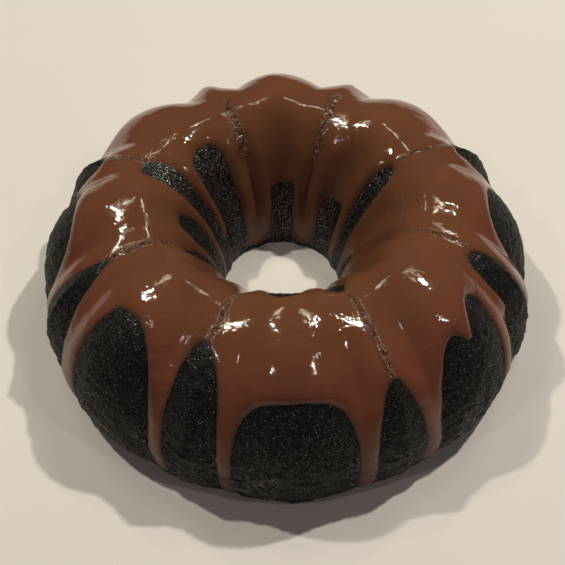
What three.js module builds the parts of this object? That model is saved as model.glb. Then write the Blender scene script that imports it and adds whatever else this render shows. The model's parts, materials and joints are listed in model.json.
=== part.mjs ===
// A bundt cake: a fluted chocolate ring with a poured glaze that runs down its valleys.
// Millimetres, +Z up. The origin is the centre of the ring on the surface it stands on.
// Azimuth is in degrees from +X towards +Y. The ring's skin is described by azimuth and
// by "way", which runs from 0 at the outer foot, over the crest, to 1 at the foot of the hole.

import * as THREE from 'three';
import { ParametricGeometry } from 'three/addons/geometries/ParametricGeometry.js';
import { mergeVertices } from 'three/addons/utils/BufferGeometryUtils.js';

// ---------- driving dimensions ----------

// Eight wide lobes stand at 0, 45, 90 ... degrees, a narrow ridge stands half way between
// two lobes, and a valley runs down each side of every lobe.
const fluteStep = 45;
const ridgeAt = fluteStep / 2;
const valleyAt = 14.5;
const lobe = { reach: 122, crest: 69.5, hole: 30.2, outerBulge: 2, innerBulge: 1.5 };
const valley = { reach: 119.8, crest: 67.2, hole: 30.4, outerBulge: 1.55, innerBulge: 1.8 };
const ridge = { reach: 121.5, crest: 66.7, hole: 29.2, outerBulge: 2.1, innerBulge: 1.5 };
const lobeRound = 1.45;
const ridgeRound = 0.85;

// Unevenness of the baked ring, for the lobe or ridge at 0, 22.5, 45 ... degrees.
const reachExtra = [-2, 0, -0.5, 1.5, 1, -1, 2, 0, -2, 0, 0.5, 0.5, 1, 0, 0.5, 0];
const crestExtra = [-1, 0, 0, -1, 1, 1, -1.5, -1.5, -0.5, -2, 0.5, -0.5, 3, 0.5, 1, 0.5];
const holeShift = -1.8;

// The arcs of a section are plain round ones at the crest and take on their own bulge by this
// share of the way down to the shoulder or the hole.
const crestRound = 0.75;
const crestRadius = 69.2;
const shoulderHeight = 20.7;
const footTuck = 2.2;
const footRound = 3;

// Part of the way at which the outer shoulder and the crest are reached.
const shoulderWay = 0.15;
const crestWay = 0.6;

// Lumps that stand out of the skin: crumb squeezed out at the foot of one ridge, and the sharp
// shoulders of two ridges at the back. A lump fades over "spread" degrees and "reach" of way.
const lumps = [
  { at: 337, spread: 5, height: 4, way: 0, reach: 0.1 },
  { at: 112.5, spread: 3.2, height: 1.8, way: 0.36, reach: 0.12 },
  { at: 67.5, spread: 3.2, height: 1.8, way: 0.36, reach: 0.12 },
];

const glazeThickness = 2;
const ridgeGlazeThickness = 0.9;
const glazeGap = 0.4;
const lipShare = 0.55;

// Bare windows in the glaze, outside and in the hole. A window is straight-sided from the foot up
// to the way "straight" and closes at the way "top". Its middle stands at the azimuth "at" plus
// "lean" for each unit of way, its half width is in degrees, and "square" is how boxy its top is.
const outerWindows = [
  { at: 361, lean: -7, half: 12, top: 0.437, straight: 0.25, square: 2.2 },
  { at: 22.7, lean: 0, half: 7, top: 0.455, straight: 0.2, square: 2 },
  { at: 46, lean: 0, half: 10.5, top: 0.37, straight: 0.2, square: 2.4 },
  { at: 67.5, lean: 0, half: 5.4, top: 0.385, straight: 0.22, square: 1.7 },
  { at: 90, lean: 0, half: 12, top: 0.39, straight: 0.22, square: 2.8 },
  { at: 112.5, lean: 0, half: 5.6, top: 0.365, straight: 0.22, square: 1.6 },
  { at: 134, lean: 0, half: 11, top: 0.35, straight: 0.2, square: 2.2 },
  { at: 157.5, lean: 0, half: 7, top: 0.435, straight: 0.2, square: 2 },
  { at: 178.5, lean: 0, half: 14.2, top: 0.415, straight: 0.22, square: 2.5 },
  { at: 203, lean: 0, half: 6.5, top: 0.51, straight: 0.2, square: 1.3 },
  { at: 231.2, lean: -14, half: 10.8, top: 0.474, straight: 0.25, square: 2.2 },
  { at: 249.8, lean: -7, half: 5.9, top: 0.505, straight: 0.3, square: 2 },
  { at: 269.9, lean: 0, half: 12.8, top: 0.386, straight: 0.22, square: 3.3 },
  { at: 291.2, lean: 4, half: 5.4, top: 0.405, straight: 0.22, square: 1.6 },
  { at: 310, lean: 0, half: 8.5, top: 0.412, straight: 0.2, square: 1.6 },
  { at: 310.9, lean: 24, half: 5.2, top: 0.447, straight: 0.36, square: 2 },
  { at: 335.4, lean: 0, half: 3.4, top: 0.49, straight: 0.4, square: 2.4 },
  { at: 332.5, lean: 0, half: 7, top: 0.33, straight: 0.2, square: 1.2 },
];
const innerWindows = [
  { at: 357, lean: 0, half: 6.5, top: 0.885, straight: 0.93, square: 2 },
  { at: 29.5, lean: -12, half: 6, top: 0.685, straight: 0.78, square: 2 },
  { at: 43.9, lean: 0, half: 9.6, top: 0.84, straight: 0.88, square: 3 },
  { at: 88.3, lean: 0, half: 9.2, top: 0.835, straight: 0.88, square: 4 },
  { at: 136.5, lean: 0, half: 10.3, top: 0.695, straight: 0.8, square: 3 },
  { at: 152, lean: 0, half: 12, top: 0.9, straight: 0.95, square: 2 },
  { at: 164.4, lean: -6, half: 5.5, top: 0.58, straight: 0.68, square: 2.2 },
  { at: 181, lean: 0, half: 10, top: 0.755, straight: 0.88, square: 2.5 },
  { at: 192, lean: 0, half: 13, top: 0.885, straight: 0.93, square: 2 },
  { at: 232, lean: -35, half: 5.5, top: 0.735, straight: 0.8, square: 2 },
  { at: 225, lean: 0, half: 8, top: 0.86, straight: 0.93, square: 2.5 },
  { at: 268, lean: 0, half: 7, top: 0.65, straight: 0.72, square: 2 },
  { at: 291, lean: 0, half: 5, top: 0.672, straight: 0.74, square: 2 },
];

// The way at which the drip in each valley ends, and the one where the glaze in the hole ends.
const dripEnds = [
  0.22, 0.18, 0.2, 0.12, 0.16, 0.1, 0.2, 0.24, 0.2, 0.12, 0.07, 0.035, 0.045, 0.08, 0.17, 0.2,
];
const holeGlazeEnd = { way: 0.98, wave: 0.006, waves: 7 };
const dripRound = 3;

// Lengths of skin, in millimetres, for one unit of way and for one degree.
const wayLength = 200;
const outerDegree = 2.1;
const innerDegree = 0.8;

// ---------- facets ----------

// Columns of facets from a lobe's middle to its valley and on to the ridge, and rows of facets
// on the foot, the outer wall and the wall of the hole.
const columnsToValley = 5;
const columnsToRidge = 3;
const footRows = 3;
const outerRows = 9;
const innerRows = 7;

// Corners nearer than this are one corner, the edge of the glaze keeps this share of a facet's
// side from its corners, and slopes are taken over these steps to either side.
const weldLength = 1e-4;
const shortestShare = 0.1;
const slopeStep = { azimuth: 0.5, way: 0.004 };

// ---------- the ring's skin ----------

function lerp(from, to, part) {
  return from + (to - from) * part;
}

// Signed turn, in degrees, from one azimuth to another by the short way round.
function turnBetween(from, to) {
  return THREE.MathUtils.euclideanModulo(to - from + 180, 360) - 180;
}

// A value that eases from one flute to the next, out of a list for the lobes and ridges.
function fluteValue(list, azimuth) {
  const place = THREE.MathUtils.euclideanModulo(azimuth, 360) / ridgeAt;
  const first = Math.floor(place) % list.length;
  const ease = THREE.MathUtils.smoothstep(place - Math.floor(place), 0, 1);
  return lerp(list[first], list[(first + 1) % list.length], ease);
}

// The cross-section's sizes at an azimuth, between those of lobe, valley and ridge.
function sectionAt(azimuth) {
  const away = Math.abs(turnBetween(Math.round(azimuth / fluteStep) * fluteStep, azimuth));
  const onLobe = away < valleyAt;
  const rise = onLobe
    ? (1 - (away / valleyAt) ** 2) ** lobeRound
    : 1 - ((ridgeAt - away) / (ridgeAt - valleyAt)) ** ridgeRound;
  const section = {};
  for (const size of Object.keys(valley)) {
    section[size] = lerp(valley[size], (onLobe ? lobe : ridge)[size], rise);
  }
  section.reach += fluteValue(reachExtra, azimuth);
  section.crest += fluteValue(crestExtra, azimuth);
  return section;
}

// How far along a section's arc reaches across, from the cosine of its turn and its bulge.
function roundedPower(across, bulge) {
  const share = Math.max(0, across);
  return share ** lerp(1, 2 / bulge, THREE.MathUtils.smoothstep(share, 0, crestRound));
}

// A point of the bare cake's skin.
function cakePoint(azimuth, way) {
  const section = sectionAt(azimuth);
  let radius;
  let height;
  let shift = 0;
  if (way < shoulderWay) {
    const down = 1 - way / shoulderWay;
    radius = section.reach - footTuck * down ** 2 - footRound * down ** 6;
    height = shoulderHeight * (1 - down);
  } else if (way < crestWay) {
    const turn = (way - shoulderWay) / (crestWay - shoulderWay) * Math.PI / 2;
    radius = lerp(crestRadius, section.reach, roundedPower(Math.cos(turn), section.outerBulge));
    height = lerp(shoulderHeight, section.crest, Math.sin(turn) ** (2 / section.outerBulge));
  } else {
    const turn = (1 - way) / (1 - crestWay) * Math.PI / 2;
    radius = lerp(crestRadius, section.hole, roundedPower(Math.cos(turn), section.innerBulge));
    height = section.crest * Math.sin(turn) ** (2 / section.innerBulge);
    shift = holeShift * ((way - crestWay) / (1 - crestWay)) ** 1.5;
  }
  for (const lump of lumps) {
    const swell = Math.exp(-((turnBetween(lump.at, azimuth) / lump.spread) ** 2));
    radius += lump.height * swell * Math.exp(-(((way - lump.way) / lump.reach) ** 2));
  }
  const angle = THREE.MathUtils.degToRad(azimuth);
  return new THREE.Vector3(radius * Math.cos(angle) + shift, radius * Math.sin(angle), height);
}

// The skin's outward normal, from the slopes round the ring and over it.
function skinNormal(azimuth, way) {
  const round = cakePoint(azimuth + slopeStep.azimuth, way);
  round.sub(cakePoint(azimuth - slopeStep.azimuth, way));
  const over = cakePoint(azimuth, Math.min(1, way + slopeStep.way));
  over.sub(cakePoint(azimuth, Math.max(0, way - slopeStep.way)));
  return round.cross(over).normalize();
}

// Azimuth of a column: columns stand on every lobe, valley and ridge line.
function columnAzimuth(column) {
  const halfFlute = columnsToValley + columnsToRidge;
  const flutes = Math.floor(column / (2 * halfFlute));
  const along = column % (2 * halfFlute);
  const fromLobe = Math.min(along, 2 * halfFlute - along);
  const away = fromLobe <= columnsToValley
    ? valleyAt * fromLobe / columnsToValley
    : lerp(valleyAt, ridgeAt, (fromLobe - columnsToValley) / columnsToRidge);
  return fluteStep * (flutes + (along <= halfFlute ? 0 : 1)) + (along <= halfFlute ? away : -away);
}

function rowWay(row) {
  if (row <= footRows) {
    return shoulderWay * (row / footRows) ** 1.5;
  }
  if (row <= footRows + outerRows) {
    return lerp(shoulderWay, crestWay, (row - footRows) / outerRows);
  }
  return lerp(crestWay, 1, (row - footRows - outerRows) / innerRows);
}

const columns = 2 * (columnsToValley + columnsToRidge) * 360 / fluteStep;
const lastRow = footRows + outerRows + innerRows;

// The bare cake: its skin, closed underneath by the flat ring between its two feet.
function cakeGeometry() {
  const geometry = new ParametricGeometry((round, over, target) => {
    const column = Math.round(round * columns) % columns;
    const row = Math.round(over * (lastRow + 1)) % (lastRow + 1);
    target.copy(cakePoint(columnAzimuth(column), rowWay(row)));
  }, columns, lastRow + 1);
  geometry.deleteAttribute('normal');
  geometry.deleteAttribute('uv');
  return mergeVertices(geometry, weldLength);
}

// ---------- the poured glaze ----------

// How far a point of the skin lies inside a window, in millimetres, and negative outside it.
function depthInWindow(window, degreeLength, azimuth, way) {
  const across = Math.abs(turnBetween(window.at + window.lean * way, azimuth)) / window.half;
  const upper = Math.max(0, (way - window.straight) / (window.top - window.straight));
  const share = (across ** window.square + upper ** window.square) ** (1 / window.square);
  return (1 - share) * window.half * degreeLength;
}

// The larger of two depths, eased where they are within a length of each other.
function roundedMax(one, other, length) {
  const near = Math.max(0, length - Math.abs(one - other)) / length;
  return Math.max(one, other) + near * near * length / 4;
}

// How far a point of the skin lies inside the glazed part, in millimetres, and negative on crumb.
function glazeInset(azimuth, way) {
  const outside = way < crestWay;
  const windows = outside ? outerWindows : innerWindows;
  const degreeLength = outside ? outerDegree : innerDegree;
  const bareDepths = windows.map((window) => depthInWindow(window, degreeLength, azimuth, way));
  const place = THREE.MathUtils.euclideanModulo(azimuth, 360) / ridgeAt;
  const dripEnd = dripEnds[Math.floor(place) % dripEnds.length];
  const wave = Math.sin(THREE.MathUtils.degToRad(azimuth) * holeGlazeEnd.waves);
  const holeEnd = holeGlazeEnd.way + holeGlazeEnd.wave * wave;
  const belowEnd = (outside ? dripEnd - way : way - holeEnd) * wayLength;
  return -roundedMax(Math.max(...bareDepths), belowEnd, dripRound);
}

// A grid point of the skin with the glaze's underside and its top there.
function glazePoint(azimuth, way) {
  const normal = skinNormal(azimuth, way);
  const fromRidge = Math.abs(turnBetween(ridgeAt, azimuth % fluteStep));
  const thin = THREE.MathUtils.smoothstep(fromRidge, 0, ridgeAt - valleyAt);
  const thickness = lerp(ridgeGlazeThickness, glazeThickness, thin);
  const under = cakePoint(azimuth, way).addScaledVector(normal, glazeGap);
  const top = under.clone().addScaledVector(normal, thickness);
  return { inset: glazeInset(azimuth, way), under, top };
}

// The point of the glaze's edge between two grid points, one glazed and one bare.
// The edge keeps clear of both, so that no facet is a sliver, and its lip is thinner.
function edgePoint(one, other) {
  const level = one.inset / (one.inset - other.inset);
  const part = THREE.MathUtils.clamp(level, shortestShare, 1 - shortestShare);
  const under = one.under.clone().lerp(other.under, part);
  const top = one.top.clone().lerp(other.top, part);
  return { under, top: under.clone().lerp(top, lipShare) };
}

// The glaze: the glazed part of each facet of the skin, as an underside and a top, and a wall
// along the glaze's edge.
function glazeGeometry() {
  const grid = [];
  for (let row = 0; row <= lastRow; row += 1) {
    for (let column = 0; column < columns; column += 1) {
      grid.push(glazePoint(columnAzimuth(column), rowWay(row)));
    }
  }
  const corners = [];

  function addFacet(first, second, third) {
    const outline = [];
    const edge = [];
    const facet = [first, second, third];
    facet.forEach((from, index) => {
      const to = facet[(index + 1) % 3];
      if (grid[from].inset > 0) {
        outline.push(grid[from]);
      }
      if (grid[from].inset > 0 !== grid[to].inset > 0) {
        const crossing = edgePoint(grid[Math.min(from, to)], grid[Math.max(from, to)]);
        outline.push(crossing);
        edge[grid[from].inset > 0 ? 0 : 1] = crossing;
      }
    });
    for (let index = 2; index < outline.length; index += 1) {
      const [a, b, c] = [outline[0], outline[index - 1], outline[index]];
      corners.push(a.top, b.top, c.top);
      corners.push(a.under, c.under, b.under);
    }
    if (edge.length === 2) {
      const [leave, enter] = edge;
      corners.push(enter.top, leave.top, leave.under);
      corners.push(enter.top, leave.under, enter.under);
    }
  }

  for (let row = 0; row < lastRow; row += 1) {
    for (let column = 0; column < columns; column += 1) {
      const next = (column + 1) % columns;
      const here = row * columns;
      const above = here + columns;
      addFacet(here + column, here + next, above + next);
      addFacet(here + column, above + next, above + column);
    }
  }
  return mergeVertices(new THREE.BufferGeometry().setFromPoints(corners), weldLength);
}

// ---------- the pieces ----------

const crumbFinish = new THREE.MeshStandardMaterial({ color: 0x1b1612, roughness: 0.85, metalness: 0 });
const glazeFinish = new THREE.MeshStandardMaterial({ color: 0x5c3a29, roughness: 0.2, metalness: 0 });

const cake = new THREE.Mesh(cakeGeometry(), crumbFinish);
cake.name = 'cake';

const glaze = new THREE.Mesh(glazeGeometry(), glazeFinish);
glaze.name = 'glaze';

const bundtCake = new THREE.Group();
bundtCake.add(cake, glaze);

export default bundtCake;
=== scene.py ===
import json
import math
import bpy
import numpy as np
from mathutils import Matrix, Vector, noise

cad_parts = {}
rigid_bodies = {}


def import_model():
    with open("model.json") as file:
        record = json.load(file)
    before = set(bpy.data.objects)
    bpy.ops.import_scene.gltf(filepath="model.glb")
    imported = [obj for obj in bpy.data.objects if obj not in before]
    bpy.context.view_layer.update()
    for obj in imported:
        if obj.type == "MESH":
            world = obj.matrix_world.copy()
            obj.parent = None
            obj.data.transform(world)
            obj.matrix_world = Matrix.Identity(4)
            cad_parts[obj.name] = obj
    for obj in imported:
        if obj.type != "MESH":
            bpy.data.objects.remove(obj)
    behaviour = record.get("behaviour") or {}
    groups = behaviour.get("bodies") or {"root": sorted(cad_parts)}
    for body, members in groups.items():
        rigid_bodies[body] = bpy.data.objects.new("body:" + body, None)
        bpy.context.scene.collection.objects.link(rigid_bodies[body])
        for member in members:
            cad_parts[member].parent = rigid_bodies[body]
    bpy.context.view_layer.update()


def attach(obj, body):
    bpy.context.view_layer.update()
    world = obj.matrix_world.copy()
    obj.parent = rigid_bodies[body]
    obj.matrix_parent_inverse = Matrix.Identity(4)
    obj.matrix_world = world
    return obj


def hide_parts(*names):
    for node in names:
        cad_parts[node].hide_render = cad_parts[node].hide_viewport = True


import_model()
print("frame loaded")

# Metres and degrees. Azimuth turns from +X towards +Y. The ring's skin is described by azimuth
# and by "way", which runs from 0 at the outer foot, over the crest, to 1 at the foot of the hole.

millimetre = 0.001
tiny = 1e-9  # added where a division by nothing could come up

ring = {
    "fluteStep": 45, "valleyAt": 14.5,  # eight wide lobes, a valley down each of their sides
    "lobe": {"reach": 0.122, "crest": 0.0695, "hole": 0.0302, "outerBulge": 2, "innerBulge": 1.5},
    "valley": {"reach": 0.1198, "crest": 0.0672, "hole": 0.0304, "outerBulge": 1.55,
               "innerBulge": 1.8},
    "ridge": {"reach": 0.1215, "crest": 0.0667, "hole": 0.0292, "outerBulge": 2.1,
              "innerBulge": 1.5},
    "lobeRound": 1.45, "ridgeRound": 0.85, "crestRound": 0.75,
    # millimetres added for the lobe or ridge at 0, 22.5, 45 ... degrees
    "reachExtra": [-2, 0, -0.5, 1.5, 1, -1, 2, 0, -2, 0, 0.5, 0.5, 1, 0, 0.5, 0],
    "crestExtra": [-1, 0, 0, -1, 1, 1, -1.5, -1.5, -0.5, -2, 0.5, -0.5, 3, 0.5, 1, 0.5],
    "crestRadius": 0.0692, "crestWay": 0.6, "shoulderHeight": 0.0207, "shoulderWay": 0.15,
    # the foot draws in gently by its tuck and sharply, at the very bottom, by its round
    "footTuck": 0.0022, "tuckPower": 2, "footRound": 0.003, "roundPower": 6,
    "holeShift": -0.0018, "shiftPower": 1.5,
    # lumps that stand out: azimuth, its spread, height, way, its spread
    "lumps": [(337, 5, 0.004, 0, 0.1), (112.5, 2.4, 0.0026, 0.36, 0.12),
              (67.5, 3.2, 0.0018, 0.36, 0.12)],
}


def turnBetween(start, end):
    return (end - start + 180) % 360 - 180


def lerp(start, end, part):
    return start + (end - start) * part


def easeStep(value, low, high):
    part = np.clip((value - low) / (high - low), 0, 1)
    return part * part * (3 - 2 * part)


def bump(value, middle, spread):
    return np.exp(-((value - middle) / spread) ** 2)


def fluteValue(extras, azimuth):
    # eases from one lobe or ridge to the next
    place = azimuth % 360 / (ring["fluteStep"] / 2)
    first = np.floor(place).astype(int)
    values, count = np.array(extras) * millimetre, len(extras)
    return lerp(values[first % count], values[(first + 1) % count], easeStep(place - first, 0, 1))


def sectionAt(azimuth):
    step, valleyAt = ring["fluteStep"], ring["valleyAt"]
    away = np.abs(turnBetween(np.round(azimuth / step) * step, azimuth))
    onLobe = away < valleyAt
    lobeRise = (1 - np.clip(away / valleyAt, 0, 1) ** 2) ** ring["lobeRound"]
    inRidge = np.clip(step / 2 - away, 0, step) / (step / 2 - valleyAt)
    ridgeRise = 1 - np.clip(inRidge, 0, 1) ** ring["ridgeRound"]
    section = {}
    for size, low in ring["valley"].items():
        onRidge = lerp(low, ring["ridge"][size], ridgeRise)
        section[size] = np.where(onLobe, lerp(low, ring["lobe"][size], lobeRise), onRidge)
    section["reach"] = section["reach"] + fluteValue(ring["reachExtra"], azimuth)
    section["crest"] = section["crest"] + fluteValue(ring["crestExtra"], azimuth)
    return section


def roundedPower(across, bulge):
    # the arc is a plain round one at the crest and takes on its own bulge farther down
    across = np.clip(across, 0, 1)
    return across ** lerp(1, 2 / bulge, easeStep(across, 0, ring["crestRound"]))


def skinPoint(azimuth, way):
    section = sectionAt(azimuth)
    down = np.clip(1 - way / ring["shoulderWay"], 0, 1)
    tuck = ring["footTuck"] * down ** ring["tuckPower"]
    footRadius = section["reach"] - tuck - ring["footRound"] * down ** ring["roundPower"]
    footHeight = ring["shoulderHeight"] * (1 - down)

    rise = (way - ring["shoulderWay"]) / (ring["crestWay"] - ring["shoulderWay"])
    turn = np.clip(rise, 0, 1) * math.pi / 2
    outward = roundedPower(np.cos(turn), section["outerBulge"])
    outerRadius = lerp(ring["crestRadius"], section["reach"], outward)
    upward = np.sin(turn) ** (2 / section["outerBulge"])
    outerHeight = lerp(ring["shoulderHeight"], section["crest"], upward)

    fall = np.clip((way - ring["crestWay"]) / (1 - ring["crestWay"]), 0, 1)
    turn = (1 - fall) * math.pi / 2
    inward = roundedPower(np.cos(turn), section["innerBulge"])
    innerRadius = lerp(ring["crestRadius"], section["hole"], inward)
    innerHeight = section["crest"] * np.sin(turn) ** (2 / section["innerBulge"])

    onFoot, outside = way < ring["shoulderWay"], way < ring["crestWay"]
    radius = np.where(onFoot, footRadius, np.where(outside, outerRadius, innerRadius))
    height = np.where(onFoot, footHeight, np.where(outside, outerHeight, innerHeight))
    for middle, turnSpread, rise, level, waySpread in ring["lumps"]:
        swell = bump(turnBetween(middle, azimuth), 0, turnSpread)
        radius = radius + rise * swell * bump(way, level, waySpread)
    angle = np.radians(azimuth)
    shift = ring["holeShift"] * fall ** ring["shiftPower"]
    return np.stack([radius * np.cos(angle) + shift, radius * np.sin(angle), height], -1)


def skinSlopes(azimuth, way):
    # the skin's directions for one degree round the ring and for one unit of way over it
    aside, along = 0.4, 0.004
    low, high = np.clip(way - along, 0, 1), np.clip(way + along, 0, 1)
    around = (skinPoint(azimuth + aside, way) - skinPoint(azimuth - aside, way)) / (2 * aside)
    over = (skinPoint(azimuth, high) - skinPoint(azimuth, low)) / (high - low)[:, None]
    return around, over


def skinNormal(azimuth, way):
    around, over = skinSlopes(azimuth, way)
    normal = np.cross(around, over)
    return normal / np.linalg.norm(normal, axis=1)[:, None]


noiseGain = 1.6  # brings the noise to about -1 to 1


def lumpiness(points, lengths, place):
    # smooth noise, whose lumps have these lengths along X, Y and Z
    scaled = points / np.array(lengths) + place
    return np.array([noise.noise(Vector(point)) for point in scaled]) * noiseGain


def deselectAll():
    bpy.ops.object.select_all(action="DESELECT")


def pickVertices(piece, chosen):
    # selects these vertices alone and opens the piece for editing
    mesh = piece.data
    mesh.polygons.foreach_set("select", np.zeros(len(mesh.polygons), bool))
    mesh.edges.foreach_set("select", np.zeros(len(mesh.edges), bool))
    mesh.vertices.foreach_set("select", chosen)
    bpy.ops.object.mode_set(mode="EDIT")
    bpy.ops.mesh.select_mode(type="VERT")


def closeEdit():
    bpy.ops.object.mode_set(mode="OBJECT")


def readPlaces(piece):
    places = np.zeros(len(piece.data.vertices) * 3)
    piece.data.vertices.foreach_get("co", places)
    return places.reshape(-1, 3)


def writePlaces(piece, places):
    piece.data.vertices.foreach_set("co", places.ravel())
    piece.data.update()


def readField(piece, name):
    values = np.zeros(len(piece.data.vertices))
    piece.data.attributes[name].data.foreach_get("value", values)
    return values


def writeField(piece, name, values):
    fields = piece.data.attributes
    field = fields.get(name) or fields.new(name, "FLOAT", "POINT")
    field.data.foreach_set("value", values.astype(np.float32))


mergeWithin = 1e-5


def spinRing(name, sides, steps):
    # a small circle stood on edge and swept once round the ring's axis
    deselectAll()
    small = ring["crestRadius"] / 2
    bpy.ops.mesh.primitive_circle_add(vertices=sides, radius=small, rotation=(math.pi / 2, 0, 0),
                                      location=(ring["crestRadius"], 0, 0))
    piece = bpy.context.object
    piece.name = name
    bpy.ops.object.transform_apply(location=True, rotation=True, scale=True)
    bpy.ops.object.modifier_add(type="SCREW")
    sweep = piece.modifiers[-1]
    sweep.angle, sweep.axis = 2 * math.pi, "Z"
    sweep.steps = sweep.render_steps = steps
    sweep.use_merge_vertices, sweep.merge_threshold = True, mergeWithin
    bpy.ops.object.modifier_apply(modifier=sweep.name)
    bpy.ops.object.mode_set(mode="EDIT")
    bpy.ops.mesh.select_all(action="SELECT")
    bpy.ops.mesh.remove_doubles(threshold=mergeWithin)
    bpy.ops.mesh.normals_make_consistent(inside=False)
    closeEdit()
    places = readPlaces(piece)
    away = np.hypot(places[:, 0], places[:, 1]) - ring["crestRadius"]
    side = np.round(np.arctan2(places[:, 2], away) / (2 * math.pi) * sides).astype(int)
    azimuth = np.degrees(np.arctan2(places[:, 1], places[:, 0])) % 360
    # the sides are numbered from the outer foot, a sixth of a turn below the level side
    belowLevel = sides // 6
    return piece, azimuth, (side + belowLevel) % sides


glazeEdge = {
    # bare windows: middle azimuth, its lean for one unit of way, half width, the way at which
    # the window closes, the way up to which its sides are straight, how boxy its end is
    "outerWindows": [
        (361, -7, 12, 0.437, 0.25, 2.2), (22.7, 0, 7, 0.455, 0.2, 2),
        (46, 0, 10.5, 0.37, 0.2, 2.4), (67.5, 0, 5.4, 0.385, 0.22, 1.7),
        (90, 0, 12, 0.39, 0.22, 2.8),
        (112.5, 0, 5.6, 0.365, 0.22, 1.6), (134, 0, 11, 0.35, 0.2, 2.2),
        (157.5, 0, 7, 0.435, 0.2, 2), (178.5, 0, 14.2, 0.415, 0.22, 2.5),
        (203, 0, 6.5, 0.51, 0.2, 1.3), (231.2, -14, 10.8, 0.474, 0.25, 2.2),
        (249.8, -7, 5.9, 0.505, 0.3, 2), (269.9, 0, 12.8, 0.386, 0.22, 3.3),
        (291.2, 4, 5.4, 0.405, 0.22, 1.6), (310, 0, 8.5, 0.412, 0.2, 1.6),
        (310.9, 24, 5.2, 0.447, 0.36, 2), (335.4, 0, 3.4, 0.49, 0.4, 2.4),
        (332.5, 0, 7, 0.33, 0.2, 1.2),
    ],
    "innerWindows": [
        (357, 0, 6.5, 0.885, 0.93, 2), (29.5, -12, 6, 0.685, 0.78, 2),
        (43.9, 0, 9.6, 0.84, 0.88, 3), (88.3, 0, 9.2, 0.835, 0.88, 4),
        (136.5, 0, 10.3, 0.695, 0.8, 3), (152, 0, 12, 0.9, 0.95, 2),
        (164.4, -6, 5.5, 0.58, 0.68, 2.2), (181, 0, 10, 0.755, 0.88, 2.5),
        (192, 0, 13, 0.885, 0.93, 2), (232, -35, 5.5, 0.735, 0.8, 2),
        (225, 0, 8, 0.86, 0.93, 2.5), (268, 0, 7, 0.65, 0.72, 2), (291, 0, 5, 0.672, 0.74, 2),
    ],
    # metres in a degree round the outside and the hole, and in the whole way
    "outerDegree": 0.0021, "innerDegree": 0.0008, "wayLength": 0.2,
    # the way at which the drip in each valley ends, and where the glaze in the hole ends
    "dripEnds": [0.22, 0.18, 0.2, 0.12, 0.16, 0.1, 0.2, 0.24, 0.2, 0.12, 0.07, 0.035, 0.045, 0.08,
                 0.17, 0.2],
    "holeEnd": 0.98, "holeWave": 0.006, "holeWaves": 7, "dripRound": 0.003,
    # unevenness of the edge, as waves: number round the ring, over the way, phase, share
    "wobble": 0.00013, "wobbleWaves": [(41, 63, 0, 1), (67, -118, 2, 0.6)],
    # swollen lower ends of drips: azimuth, way at which the swelling fades, width added
    "tips": [(241, 0.14, 0.0006), (255.6, 0.17, 0.0012), (284.6, 0.17, 0.0012),
             (300.2, 0.16, 0.001)],
    "tipSpread": 4, "tipFade": 0.1,
}


def depthInWindows(windows, degreeLength, azimuth, way):
    deepest = np.full(azimuth.shape, -1.0)
    for middle, lean, half, top, straight, square in windows:
        across = np.abs(turnBetween(middle + lean * way, azimuth)) / half
        upper = np.clip((way - straight) / (top - straight), 0, None)
        share = (across ** square + upper ** square) ** (1 / square)
        deepest = np.maximum(deepest, (1 - share) * half * degreeLength)
    return deepest


def glazeInset(azimuth, way):
    # how far inside the glazed part a point lies, negative on bare crumb
    outer = depthInWindows(glazeEdge["outerWindows"], glazeEdge["outerDegree"], azimuth, way)
    inner = depthInWindows(glazeEdge["innerWindows"], glazeEdge["innerDegree"], azimuth, way)
    bare = np.maximum(outer, inner)
    dripEnds = np.array(glazeEdge["dripEnds"])
    sector = np.floor(azimuth % 360 / (ring["fluteStep"] / 2)).astype(int) % len(dripEnds)
    angle = np.radians(azimuth)
    holeEnd = glazeEdge["holeEnd"] + glazeEdge["holeWave"] * np.sin(angle * glazeEdge["holeWaves"])
    below = np.maximum(dripEnds[sector] - way, way - holeEnd) * glazeEdge["wayLength"]
    length = glazeEdge["dripRound"]
    near = np.clip(length - np.abs(bare - below), 0, None) / length
    wobble = sum(np.sin(angle * wavesRound + way * wavesOver + phase) * share
                 for wavesRound, wavesOver, phase, share in glazeEdge["wobbleWaves"])
    swollen = glazeEdge["wobble"] * wobble
    for middle, last, width in glazeEdge["tips"]:
        low = 1 - easeStep(way, last - glazeEdge["tipFade"], last)
        across = bump(turnBetween(middle, azimuth), 0, glazeEdge["tipSpread"])
        swollen = swollen + width * across * low
    # the last part rounds the corner between a window and a drip's end
    return swollen - np.maximum(bare, below) - near * near * length / 4


def edgeDistance(azimuth, way):
    # metres to the glaze's edge, negative on bare crumb, and the way to it as turn and way
    around, over = skinSlopes(azimuth, way)
    perDegree, perWay = np.linalg.norm(around, axis=1), np.linalg.norm(over, axis=1)
    aside, along = 0.2, 0.002
    flattest, steepest = 0.4, 4
    inset = glazeInset(azimuth, way)
    slopeRound = glazeInset(azimuth + aside, way) - glazeInset(azimuth - aside, way)
    slopeRound /= 2 * aside * perDegree
    slopeOver = glazeInset(azimuth, way + along) - glazeInset(azimuth, way - along)
    slopeOver /= 2 * along * perWay
    slope = np.clip(np.hypot(slopeRound, slopeOver), flattest, steepest)
    return inset / slope, slopeRound / slope / perDegree, slopeOver / slope / perWay


# thin places on the ridges, where the crumb's grain shows through the glaze:
# azimuth, first and last way, half width in degrees
thinLines = [
    (112.5, 0.56, 0.77, 2.2), (67.5, 0.53, 0.77, 2), (22.5, 0.5, 0.655, 0.8),
    (337.5, 0.5, 0.67, 0.9), (292.5, 0.4, 0.68, 0.9), (247.5, 0.52, 0.68, 1.4),
    (202.5, 0.47, 0.68, 1.5), (157.5, 0.44, 0.63, 1), (112.5, 0.68, 0.76, 3.6),
]


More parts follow.
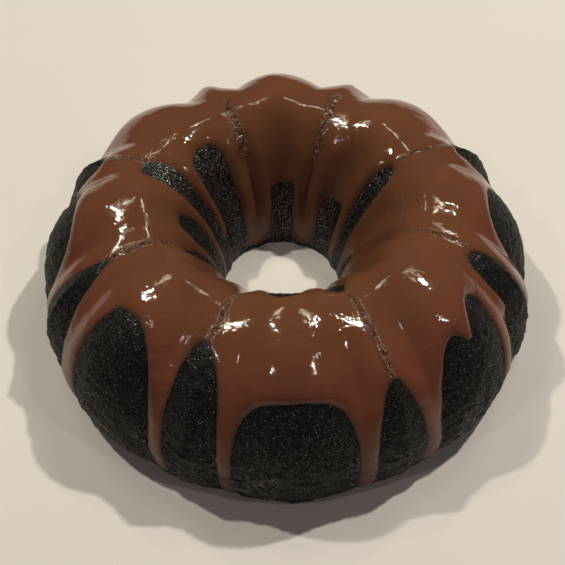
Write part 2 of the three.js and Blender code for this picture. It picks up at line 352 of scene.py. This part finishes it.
def thinShare(azimuth, way):
    share = np.zeros(azimuth.shape)
    beyond, within = 0.03, 0.02  # how far a line's ends fade, as way
    for middle, first, last, half in thinLines:
        begun = easeStep(way, first - beyond, first + within)
        unended = easeStep(-way, -last - beyond, within - last)
        across = bump(turnBetween(middle, azimuth), 0, half)
        share = np.maximum(share, across * (begun * unended))
    return share


crumb = {
    "sides": 120, "steps": 800,
    # rows of the skin as way and row number; the rows left over close the flat underside
    "rowWays": [0, 0.03, 0.15, 0.5, 0.7, 1], "rowNumbers": [0, 6, 21, 71, 83, 112],
    # sizes of the noise's lumps along X, Y and Z and its place, for each kind of relief
    "lumps": ((0.003, 0.003, 0.0026), 3.1), "lumpDepth": 0.0003,
    "layers": ((0.0085, 0.0085, 0.0021), 17.7), "layerDepth": 0.0006, "layersAbove": 0.25,
    "cracks": ((0.017, 0.017, 0.006), 41.3), "crackDepth": 0.0009, "crackWidth": 0.07,
    "patches": ((0.05, 0.05, 0.05), 7.9), "patchCut": (-0.1, 0.5),  # where the cracks are
    "rags": ((0.006, 0.006, 0.02), 29.9), "footRag": 0.0006, "ragReach": 0.02,
    "lowFade": (0.14, 0.36), "bareFade": (0, 0.0012),
}


def crumbRelief(azimuth, way, points):
    distance = edgeDistance(azimuth, way)[0]
    bare = easeStep(-distance, *crumb["bareFade"])
    low = 1 - easeStep(way, *crumb["lowFade"])
    relief = crumb["lumpDepth"] * lumpiness(points, *crumb["lumps"])
    layers = lumpiness(points, *crumb["layers"])
    relief += crumb["layerDepth"] * lerp(crumb["layersAbove"], 1, low) * layers
    crack = 1 - np.abs(lumpiness(points, *crumb["cracks"])) / crumb["crackWidth"]
    patchy = easeStep(lumpiness(points, *crumb["patches"]), *crumb["patchCut"])
    relief -= crumb["crackDepth"] * np.clip(crack, 0, 1) * patchy * low
    rag = lumpiness(points, *crumb["rags"])
    relief += crumb["footRag"] * rag * bump(way, 0, crumb["ragReach"])
    return relief * bare


def makeCrumb():
    piece, azimuth, side = spinRing("cake_crumb", crumb["sides"], crumb["steps"])
    lastRow = crumb["rowNumbers"][-1]
    way = np.interp(side, crumb["rowNumbers"], crumb["rowWays"])
    points = skinPoint(azimuth, way)
    relief = crumbRelief(azimuth, way, points)
    places = points + skinNormal(azimuth, way) * relief[:, None]
    places[:, 2] = np.where(way <= 0, 0, np.clip(places[:, 2], 0, None))
    # the flat underside runs from the foot of the hole back to the outer foot
    under = np.clip((side - lastRow) / (crumb["sides"] - lastRow), 0, 1)[:, None]
    outerFoot, innerFoot = skinPoint(azimuth, way * 0), skinPoint(azimuth, way * 0 + 1)
    places = np.where(under > 0, lerp(innerFoot, outerFoot, under), places)
    places[:, 2] = np.where((under[:, 0] > 0) | (side == lastRow), 0, places[:, 2])
    writePlaces(piece, places)
    writeField(piece, "way", np.where(under[:, 0] > 0, 0, way))
    bpy.ops.object.shade_smooth()
    return piece


glaze = {
    "sides": 168, "steps": 520, "skinRows": 144,
    "thickness": 0.0017, "ridgeThickness": 0.0011, "thinThickness": 0.0005,
    "lipWidth": 0.0045, "lipPower": 2.4, "holeShare": 0.6, "holeFade": 0.06,
    "rings": [0.0007, 0.00035, 0.00012, 0.0],  # distances of the lip's loops from the edge
    "wayEnds": (0.01, 0.99),  # the sheet is cut by distances taken between these ways
    "moveTries": 5, "longestMove": 0.0008, "pinchSweeps": 6,
    "slack": 0.0004, "relaxSteps": 14, "relaxReach": 0.004, "relaxShare": 0.6,
    "under": -0.0004, "edgeHeight": -0.00015, "least": 0.00025,
    "settleSteps": 8, "settleShare": 0.5, "settleFade": (0.0008, 0.003),
    # sizes of the noise's lumps along X, Y and Z, and its place
    "swells": ((0.016, 0.016, 0.016), 5.3), "swellDepth": 0.00028,
    "grains": ((0.0022, 0.0022, 0.0022), 11.1), "grainDepth": 0.00018,
    # rippled lower ends of drips: azimuth, way at which the ripples fade, strength
    "ripples": [(241, 0.14, 0.5), (255.5, 0.2, 1), (284.6, 0.2, 0.9), (300, 0.17, 0.6)],
    "rippleSpread": 4, "rippleFade": 0.07,
}


def moveToDistance(azimuth, way, target):
    for attempt in range(glaze["moveTries"]):
        distance, around, over = edgeDistance(azimuth, way)
        move = np.clip(target - distance, -glaze["longestMove"], glaze["longestMove"])
        azimuth, way = azimuth + move * around, way + move * over
    return azimuth, way


def rimOf(piece):
    # the mesh's edges, and which of them have one face only
    mesh = piece.data
    ends = np.zeros(len(mesh.edges) * 2, int)
    mesh.edges.foreach_get("vertices", ends)
    loopEdges = np.zeros(len(mesh.loops), int)
    mesh.loops.foreach_get("edge_index", loopEdges)
    return ends.reshape(-1, 2), np.bincount(loopEdges, minlength=len(mesh.edges)) == 1


def dropVertices(piece, chosen):
    pickVertices(piece, chosen)
    bpy.ops.mesh.delete(type="VERT")
    closeEdit()


def dropPinches(piece):
    # a corner that two arms of the sheet share goes, and so do scraps
    for sweep in range(glaze["pinchSweeps"]):
        ends, rim = rimOf(piece)
        meetings = np.bincount(ends[rim].ravel(), minlength=len(piece.data.vertices))
        faceless = np.bincount(ends.ravel(), minlength=len(piece.data.vertices)) < 2
        if not (faceless | (meetings > 2)).any():
            break
        dropVertices(piece, faceless | (meetings > 2))
    seed = np.argmax(readField(piece, "distance"))
    pickVertices(piece, np.arange(len(piece.data.vertices)) == seed)
    bpy.ops.mesh.select_linked()
    bpy.ops.mesh.select_all(action="INVERT")
    bpy.ops.mesh.delete(type="VERT")
    closeEdit()


def relaxRim(piece):
    # evens out the sheet's rim along the lip's first loop and the faces beside it
    azimuth, way = readField(piece, "azimuth"), readField(piece, "way")
    ends, rim = rimOf(piece)
    count = len(azimuth)
    onRim = np.zeros(count, bool)
    onRim[ends[rim].ravel()] = True
    for step in range(glaze["relaxSteps"]):
        moves = []
        for edges in (ends, ends[rim]):
            first, second = edges[:, 0], edges[:, 1]
            number = np.bincount(edges.ravel(), minlength=count) + tiny
            turns = turnBetween(azimuth[first], azimuth[second])
            lifts = way[second] - way[first]
            for lengths in (turns, lifts):
                total = np.bincount(first, lengths, count) - np.bincount(second, lengths, count)
                moves.append(total / number)
        distance = edgeDistance(azimuth, way)[0]
        near = np.exp(-distance / glaze["relaxReach"]) * glaze["relaxShare"]
        azimuth = azimuth + near * np.where(onRim, moves[2], moves[0])
        way = way + near * np.where(onRim, moves[3], moves[1])
        azimuth[onRim], way[onRim] = moveToDistance(azimuth[onRim], way[onRim], glaze["rings"][0])
    writeField(piece, "azimuth", azimuth)
    writeField(piece, "way", way)


def growLip(piece, target):
    # the rim is extruded outwards to the next loop of the lip
    pickVertices(piece, np.zeros(len(piece.data.vertices), bool))
    bpy.ops.mesh.select_mode(type="EDGE")
    bpy.ops.mesh.select_non_manifold(extend=False, use_wire=False, use_boundary=True,
                                     use_multi_face=False, use_non_contiguous=False,
                                     use_verts=False)
    bpy.ops.mesh.extrude_region()
    bpy.ops.mesh.select_mode(type="VERT")
    closeEdit()
    fresh = np.zeros(len(piece.data.vertices), bool)
    piece.data.vertices.foreach_get("select", fresh)
    azimuth, way = readField(piece, "azimuth"), readField(piece, "way")
    azimuth[fresh], way[fresh] = moveToDistance(azimuth[fresh], way[fresh], target)
    writeField(piece, "azimuth", azimuth)
    writeField(piece, "way", way)


def glazeBody(azimuth, way, distance, points, thin):
    # the glaze's thickness, thin on the ridges and in the hole, falling off at its lip
    step, crest = ring["fluteStep"], ring["crestWay"]
    fromRidge = np.abs(turnBetween(step / 2, azimuth % step))
    body = lerp(glaze["ridgeThickness"], glaze["thickness"],
                easeStep(fromRidge, 0, step / 2 - ring["valleyAt"]))
    body = lerp(body, glaze["thinThickness"], thin)
    body = body + glaze["swellDepth"] * lumpiness(points, *glaze["swells"]) * (1 - thin)
    inHole = easeStep(way, crest, crest + glaze["holeFade"])
    body = body * lerp(1, glaze["holeShare"], inHole)
    towardsEdge = 1 - np.clip(distance / glaze["lipWidth"], 0, 1)
    return body * (1 - towardsEdge ** glaze["lipPower"]) + glaze["edgeHeight"] * towardsEdge ** 2


def glazeDetail(distance, points, thin):
    # the grain of the crumb under the thin places
    detail = glaze["grainDepth"] * thin * lumpiness(points, *glaze["grains"])
    return detail * np.clip(distance / glaze["lipWidth"], 0, 1)


def rippledShare(azimuth, way):
    total = np.zeros(azimuth.shape)
    for middle, last, strength in glaze["ripples"]:
        across = bump(turnBetween(middle, azimuth), 0, glaze["rippleSpread"])
        total += strength * across * (1 - easeStep(way, last - glaze["rippleFade"], last))
    return total


def settle(piece, places, top, distance):
    # the poured glaze fills the creases of the skin: each corner of the top eases towards
    # the mean of those beside it, and less so at the lip
    ends = rimOf(piece)[0]
    ends = ends[top[ends[:, 0]] & top[ends[:, 1]]]
    first, second = ends[:, 0], ends[:, 1]
    number = np.bincount(ends.ravel(), minlength=len(places)) + tiny
    share = (glaze["settleShare"] * easeStep(distance, *glaze["settleFade"]))[:, None]
    for step in range(glaze["settleSteps"]):
        lengths = places[second] - places[first]
        total = [np.bincount(first, axis, len(places)) - np.bincount(second, axis, len(places))
                 for axis in lengths.T]
        places = places + share * np.stack(total, -1) / number[:, None]
    return places


def makeGlaze():
    piece, azimuth, side = spinRing("chocolate_glaze", glaze["sides"], glaze["steps"])
    way = side / glaze["skinRows"]
    onSkin = edgeDistance(azimuth, np.clip(way, *glaze["wayEnds"]))[0]
    distance = np.where(way < 1, onSkin, -1)
    writeField(piece, "azimuth", azimuth)
    writeField(piece, "way", way)
    writeField(piece, "distance", distance)
    dropVertices(piece, distance < glaze["rings"][0] - glaze["slack"])
    dropPinches(piece)
    relaxRim(piece)
    print("glaze sheet cut")

    for target in glaze["rings"][1:]:
        growLip(piece, target)
    azimuth, way = readField(piece, "azimuth"), readField(piece, "way")
    under = skinPoint(azimuth, way) + skinNormal(azimuth, way) * glaze["under"]
    writePlaces(piece, under)
    pickVertices(piece, np.ones(len(azimuth), bool))
    bpy.ops.mesh.select_all(action="SELECT")
    bpy.ops.mesh.extrude_region()
    closeEdit()
    top = np.zeros(len(piece.data.vertices), bool)
    piece.data.vertices.foreach_get("select", top)
    azimuth, way = readField(piece, "azimuth"), readField(piece, "way")
    distance = edgeDistance(azimuth, way)[0]
    points = skinPoint(azimuth, way)
    normal = skinNormal(azimuth, way)
    thin = thinShare(azimuth, way)
    body = glazeBody(azimuth, way, distance, points, thin)
    body = np.where(top, body, glaze["under"])
    places = settle(piece, points + normal * body[:, None], top, distance)
    sunk = np.clip(glaze["least"] - ((places - points) * normal).sum(1), 0, None)
    sunk *= top & (distance > glaze["settleFade"][0])
    detail = glazeDetail(distance, points, thin) * top
    writePlaces(piece, places + normal * (sunk + detail)[:, None])
    writeField(piece, "thin", thin)
    writeField(piece, "ripple", rippledShare(azimuth, way))
    writeField(piece, "distance", distance)
    pickVertices(piece, np.ones(len(azimuth), bool))
    bpy.ops.mesh.select_all(action="SELECT")
    bpy.ops.mesh.normals_make_consistent(inside=False)
    closeEdit()
    bpy.ops.object.shade_smooth()
    return piece


class Wire:
    # a node's output, which can be used in sums
    def __init__(self, board, socket):
        self.board = board
        self.socket = socket

    def join(self, operation, first, second):
        return self.board.node("ShaderNodeMath", {"operation": operation}, {0: first, 1: second})

    def __add__(self, other):
        return self.join("ADD", self, other)

    def __radd__(self, other):
        return self.join("ADD", other, self)

    def __sub__(self, other):
        return self.join("SUBTRACT", self, other)

    def __rsub__(self, other):
        return self.join("SUBTRACT", other, self)

    def __mul__(self, other):
        return self.join("MULTIPLY", self, other)

    def __rmul__(self, other):
        return self.join("MULTIPLY", other, self)


class Board:
    # a material's nodes
    def __init__(self, name):
        self.material = bpy.data.materials.new(name)
        self.material.use_nodes = True
        self.tree = self.material.node_tree
        self.tree.nodes.clear()

    def node(self, kind, settings, inputs, output=0):
        made = self.tree.nodes.new(kind)
        for name, value in settings.items():
            setattr(made, name, value)
        for name, value in inputs.items():
            if isinstance(value, Wire):
                self.tree.links.new(value.socket, made.inputs[name])
            else:
                made.inputs[name].default_value = value
        return Wire(self, made.outputs[output])

    def place(self, scale=(1, 1, 1)):
        objectPlace = self.node("ShaderNodeTexCoord", {}, {}, "Object")
        return self.node("ShaderNodeMapping", {}, {"Vector": objectPlace, "Scale": scale})

    def height(self):
        objectPlace = self.node("ShaderNodeTexCoord", {}, {}, "Object")
        return self.node("ShaderNodeSeparateXYZ", {}, {"Vector": objectPlace}, "Z")

    def noise(self, place, scale, detail, roughness=0.5, distortion=0.0):
        inputs = {"Vector": place, "Scale": scale, "Detail": detail, "Roughness": roughness,
                  "Distortion": distortion}
        return self.node("ShaderNodeTexNoise", {}, inputs, "Fac")

    def ease(self, value, low, high, start=0.0, end=1.0):
        inputs = {"Value": value, "From Min": low, "From Max": high, "To Min": start,
                  "To Max": end}
        return self.node("ShaderNodeMapRange", {"interpolation_type": "SMOOTHSTEP"}, inputs)

    def blend(self, part, first, second):
        # the Mix node's sockets for colours have these numbers
        factor, colourA, colourB, result = 0, 6, 7, 2
        inputs = {factor: part, colourA: first, colourB: second}
        return self.node("ShaderNodeMix", {"data_type": "RGBA"}, inputs, result)

    def field(self, name):
        return self.node("ShaderNodeAttribute", {"attribute_name": name}, {}, "Fac")

    def relief(self, value, distance, strength, normal=None):
        inputs = {"Height": value, "Distance": distance, "Strength": strength}
        if normal is not None:
            inputs["Normal"] = normal
        return self.node("ShaderNodeBump", {}, inputs)

    def finish(self, inputs):
        shader = self.node("ShaderNodeBsdfPrincipled", {}, inputs)
        surface = self.tree.nodes.new("ShaderNodeOutputMaterial").inputs["Surface"]
        self.tree.links.new(shader.socket, surface)
        return self.material


# In each look a noise is given as its scale, detail, roughness and distortion, a fade as the two
# values it runs between and the two that it gives there (0 and 1 if not stated), and a relief as
# its depth and strength.

crumbLook = {
    "dark": (0.0012, 0.001, 0.0009, 1), "light": (0.009, 0.008, 0.007, 1),
    "flake": (0.6, 0.58, 0.55, 1),  # small smooth faces of the crumb, which mirror the light
    "grains": (1000, 3, 0.6), "lightGrains": (0.48, 0.66), "grainRelief": (0.0007, 0.8),
    "grainRough": (0.4, 0.65, 0.6, 0.35),
    # the wavy layers show low down on the outside, in patches
    "layers": (230, 3, 0.6, 0.6), "layerStretch": (1, 1, 3.2), "layerRelief": (0.0022, 1.0),
    "lowDown": (0.015, 0.048, 1, 0.16), "outside": (0.5, 0.55, 1, 0.3),
    "patches": (70, 2), "patchFade": (0.38, 0.6, 0.3, 1),
    # flakes along the layers' crests, and loose ones, of which the hole has more
    "crestRise": (0.455, 0.485), "crestFall": (0.5, 0.53, 1, 0),
    "breaks": (1500, 2, 0.5), "breakFade": (0.38, 0.52), "crestShare": 0.56,
    "flakes": (2300, 1), "flakeFade": (0.69, 0.735), "moreInHole": (0.5, 0.6, 0, 0.072),
    "fewerLow": 0.6, "flakeSmooths": 0.15,
    "bending": 1.45, "gloss": 0.2,
}


def crumbMaterial():
    look = crumbLook
    board = Board("chocolate crumb")
    place, way = board.place(), board.field("way")
    grains = board.noise(place, *look["grains"])
    layers = board.noise(board.place(look["layerStretch"]), *look["layers"])
    low = board.ease(board.height(), *look["lowDown"]) * board.ease(way, *look["outside"])
    low = low * board.ease(board.noise(place, *look["patches"]), *look["patchFade"])

    crest = board.ease(layers, *look["crestRise"]) * board.ease(layers, *look["crestFall"])
    crest = crest * low * board.ease(board.noise(place, *look["breaks"]), *look["breakFade"])
    flakes = board.noise(place, *look["flakes"]) + board.ease(way, *look["moreInHole"])
    flake = board.ease(flakes, *look["flakeFade"]) * (1 - low * look["fewerLow"])
    flake = board.ease(flake + crest * look["crestShare"], 0, 1)

    lightGrain = board.ease(grains, *look["lightGrains"])
    colour = board.blend(lightGrain, look["dark"], look["light"])
    colour = board.blend(flake, colour, look["flake"])
    normal = board.relief(layers * low, *look["layerRelief"])
    normal = board.relief(grains, *look["grainRelief"], normal)
    rough = board.ease(grains, *look["grainRough"]) - flake * look["flakeSmooths"]
    return board.finish({"Base Color": colour, "Roughness": rough, "Metallic": flake,
                         "Normal": normal, "IOR": look["bending"],
                         "Specular IOR Level": look["gloss"]})


glazeLook = {
    # the crest's olive tone is painted sheen; the lower outside is painted lighter, standing in
    # for light, and is redder in tone
    "crest": (0.137, 0.0545, 0.0255, 1), "side": (0.168, 0.056, 0.033, 1),
    "crestSheenFade": (0.4, 0.55),
    # a darker tone in random clouds, and painted shade that deepens into the hole
    "darkToneAndHoleShade": (0.108, 0.041, 0.024, 1), "clouds": (34, 4, 0.55), "cloudFade": (0.38, 0.66),
    "cloudShare": 0.6, "shadeInHole": (0.66, 0.8, 0, 0.3),
    "tip": (0.09, 0.042, 0.032, 1), "tipShare": 0.6,
    # the lip is painted darker: partly the glaze's own thin edge, partly painted shade along the
    # edge
    "rim": (0.045, 0.019, 0.012, 1), "lipShadeFade": (0.0001, 0.0016, 1, 0), "lipShadeShare": 0.6,
    # the thin places on the ridges have dark pits and small flakes that mirror the light
    "pit": (0.014, 0.007, 0.005, 1), "pits": (900, 3, 0.6), "pitFade": (0.47, 0.55),
    "flake": (0.8, 0.62, 0.42, 1), "flakes": (1500, 1), "flakeFade": (0.56, 0.64),
    "thinFade": (0.3, 0.8), "groups": (300, 1), "groupFade": (0.45, 0.55),
    "waves": (62, 2, 0.4), "waveRelief": (0.0009, 0.5),
    "ripples": (260, 3, 0.5, 0.6), "rippleRelief": (0.0005, 0.75),
    "patches": (45, 2), "patchFade": (0.45, 0.65, 0.25, 1),
    "pitRelief": (0.0012, 1.0),
    "bands": (70, 2, 0.5), "bandStretch": (1, 1, 7), "bandRelief": (0.0036, 1.0),
    # shine over the way into the hole, down the outside and at the lip; it takes off roughness
    "holeShine": (0.72, 0.88, 0.85, 0.3), "sideShine": (0.2, 0.42, 0.5, 1),
    "lipShine": (0.0001, 0.0014, 0.04, 1), "dullRough": 0.5, "shineSmooths": 0.5,
    "bending": 1.45, "gloss": 0.42,
}


def glazeMaterial():
    look = glazeLook
    board = Board("poured chocolate glaze")
    place = board.place()
    thin, way, ripple = board.field("thin"), board.field("way"), board.field("ripple")
    distance = board.field("distance")

    clouds = board.ease(board.noise(place, *look["clouds"]), *look["cloudFade"])
    # random darker tone, plus painted shade farther into the hole
    darkToneAndHoleShade = clouds * look["cloudShare"] + board.ease(way, *look["shadeInHole"])
    # painted shade, with the glaze's darker thin edge, near the lip
    rim = board.ease(distance, *look["lipShadeFade"]) * look["lipShadeShare"]
    # painted sheen and painted light: over the way the colour turns from the lighter, redder side
    # to the olive crest
    colour = board.blend(board.ease(way, *look["crestSheenFade"]), look["side"], look["crest"])
    colour = board.blend(darkToneAndHoleShade, colour, look["darkToneAndHoleShade"])
    colour = board.blend(ripple * look["tipShare"], colour, look["tip"])
    colour = board.blend(rim, colour, look["rim"])

    pits = board.noise(place, *look["pits"])
    colour = board.blend(thin * board.ease(pits, *look["pitFade"]), colour, look["pit"])
    flake = board.ease(board.noise(place, *look["flakes"]), *look["flakeFade"])
    flake = flake * board.ease(thin, *look["thinFade"])
    flake = flake * board.ease(board.noise(place, *look["groups"]), *look["groupFade"])
    colour = board.blend(flake, colour, look["flake"])

    waves = board.noise(place, *look["waves"])
    patches = board.ease(board.noise(place, *look["patches"]), *look["patchFade"])
    ripples = board.noise(place, *look["ripples"]) * patches
    bands = board.noise(board.place(look["bandStretch"]), *look["bands"])
    normal = board.relief(waves, *look["waveRelief"])
    normal = board.relief(ripples, *look["rippleRelief"], normal)
    normal = board.relief(pits * thin, *look["pitRelief"], normal)
    normal = board.relief(bands * ripple, *look["bandRelief"], normal)

    shine = board.ease(way, *look["holeShine"]) * board.ease(way, *look["sideShine"])
    shine = shine * board.ease(distance, *look["lipShine"])
    rough = look["dullRough"] - shine * look["shineSmooths"]
    return board.finish({"Base Color": colour, "Roughness": rough, "Metallic": flake,
                         "Normal": normal, "IOR": look["bending"],
                         "Specular IOR Level": look["gloss"]})


def paint(piece, material):
    piece.data.materials.clear()
    piece.data.materials.append(material)


view = {"azimuth": -1.907, "elevation": 48.19, "roll": -0.307, "distance": 0.3805,
        "aimRight": -0.00121, "aimUp": -0.00186, "aimHeight": 0.04,
        "lens": 49.07, "sensor": 36, "shiftDown": 0.0792, "nearClip": 0.01}


def placeCamera():
    level = (Matrix.Rotation(math.radians(view["azimuth"]), 4, "Z")
             @ Matrix.Rotation(math.radians(90 - view["elevation"]), 4, "X"))
    turn = level @ Matrix.Rotation(math.radians(view["roll"]), 4, "Z")
    aside = level @ Vector((view["aimRight"], view["aimUp"], view["distance"]))
    place = aside + Vector((0, 0, view["aimHeight"]))
    deselectAll()
    bpy.ops.object.camera_add()
    camera = bpy.context.object
    camera.matrix_world = Matrix.Translation(place) @ turn
    camera.data.sensor_width = view["sensor"]
    camera.data.lens = view["lens"]
    camera.data.shift_y = -view["shiftDown"]
    camera.data.clip_start = view["nearClip"]
    bpy.context.scene.camera = camera


floorLook = {"size": 8, "drop": 0.0002,
             "colour": (0.735, 0.705, 0.68, 1), "shade": (0.69, 0.66, 0.63, 1),
             "clouds": (5, 2), "cloudRough": (0, 1, 0.5, 0.6), "gloss": 0.3}


def makeFloor():
    deselectAll()
    bpy.ops.mesh.primitive_plane_add(size=floorLook["size"], location=(0, 0, -floorLook["drop"]))
    floor = bpy.context.object
    floor.name = "floor"
    board = Board("pale floor")
    clouds = board.noise(board.place(), *floorLook["clouds"])
    colour = board.blend(clouds, floorLook["colour"], floorLook["shade"])
    rough = board.ease(clouds, *floorLook["cloudRough"])
    paint(floor, board.finish({"Base Color": colour, "Roughness": rough,
                               "Specular IOR Level": floorLook["gloss"]}))


# turn is from straight behind the cake towards the right, rise is above the floor, share is
# the floor's brightness from that lamp and size is the lamp's width and height
lights = [
    {"name": "back left", "turn": -57, "rise": 58, "share": 0.24, "size": (0.05, 0.05),
     "colour": (1, 0.94, 0.8)},
    {"name": "back right", "turn": 57, "rise": 57, "share": 0.33, "size": (0.05, 0.05),
     "colour": (1, 0.92, 0.82)},
    {"name": "behind left", "turn": -31, "rise": 58, "share": 0.046, "size": (0.36, 0.02),
     "colour": (1, 0.93, 0.68)},
    {"name": "behind right", "turn": 31, "rise": 58, "share": 0.046, "size": (0.36, 0.02),
     "colour": (1, 0.93, 0.68)},
    {"name": "left", "turn": -120, "rise": 49, "share": 0.034, "size": (0.06, 0.08),
     "colour": (1, 0.87, 0.86)},
    {"name": "right", "turn": 119, "rise": 50, "share": 0.036, "size": (0.06, 0.08),
     "colour": (1, 0.87, 0.84)},
]
lampsAway = 1.5
surround = {"colour": (0.92, 0.86, 0.74, 1), "strength": 0.035}


def placeLights():
    for lamp in lights:
        turn, rise = math.radians(lamp["turn"]), math.radians(lamp["rise"])
        way = Vector((math.sin(turn) * math.cos(rise), math.cos(turn) * math.cos(rise),
                      math.sin(rise)))
        deselectAll()
        bpy.ops.object.light_add(type="AREA", location=way * lampsAway)
        light = bpy.context.object
        light.name = lamp["name"]
        light.rotation_euler = way.to_track_quat("Z", "Y").to_euler()
        light.data.shape = "RECTANGLE"
        light.data.size, light.data.size_y = lamp["size"]
        light.data.color = lamp["colour"]
        floorGlow = lamp["share"] * math.pi / floorLook["colour"][0]
        light.data.energy = floorGlow * math.pi * lampsAway ** 2 / math.sin(rise)
    world = bpy.context.scene.world or bpy.data.worlds.new("room")
    bpy.context.scene.world = world
    world.use_nodes = True
    background = world.node_tree.nodes["Background"]
    background.inputs["Color"].default_value = surround["colour"]
    background.inputs["Strength"].default_value = surround["strength"]


bpy.context.scene.view_settings.view_transform = "Standard"
placeCamera()
makeFloor()
placeLights()
print("camera, floor and lights placed")

cake = makeCrumb()
paint(cake, crumbMaterial())
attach(cake, "root")
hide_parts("cake")
print("crumb made", len(cake.data.polygons), "faces")

coat = makeGlaze()
paint(coat, glazeMaterial())
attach(coat, "root")
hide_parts("glaze")
print("glaze made", len(coat.data.polygons), "faces")
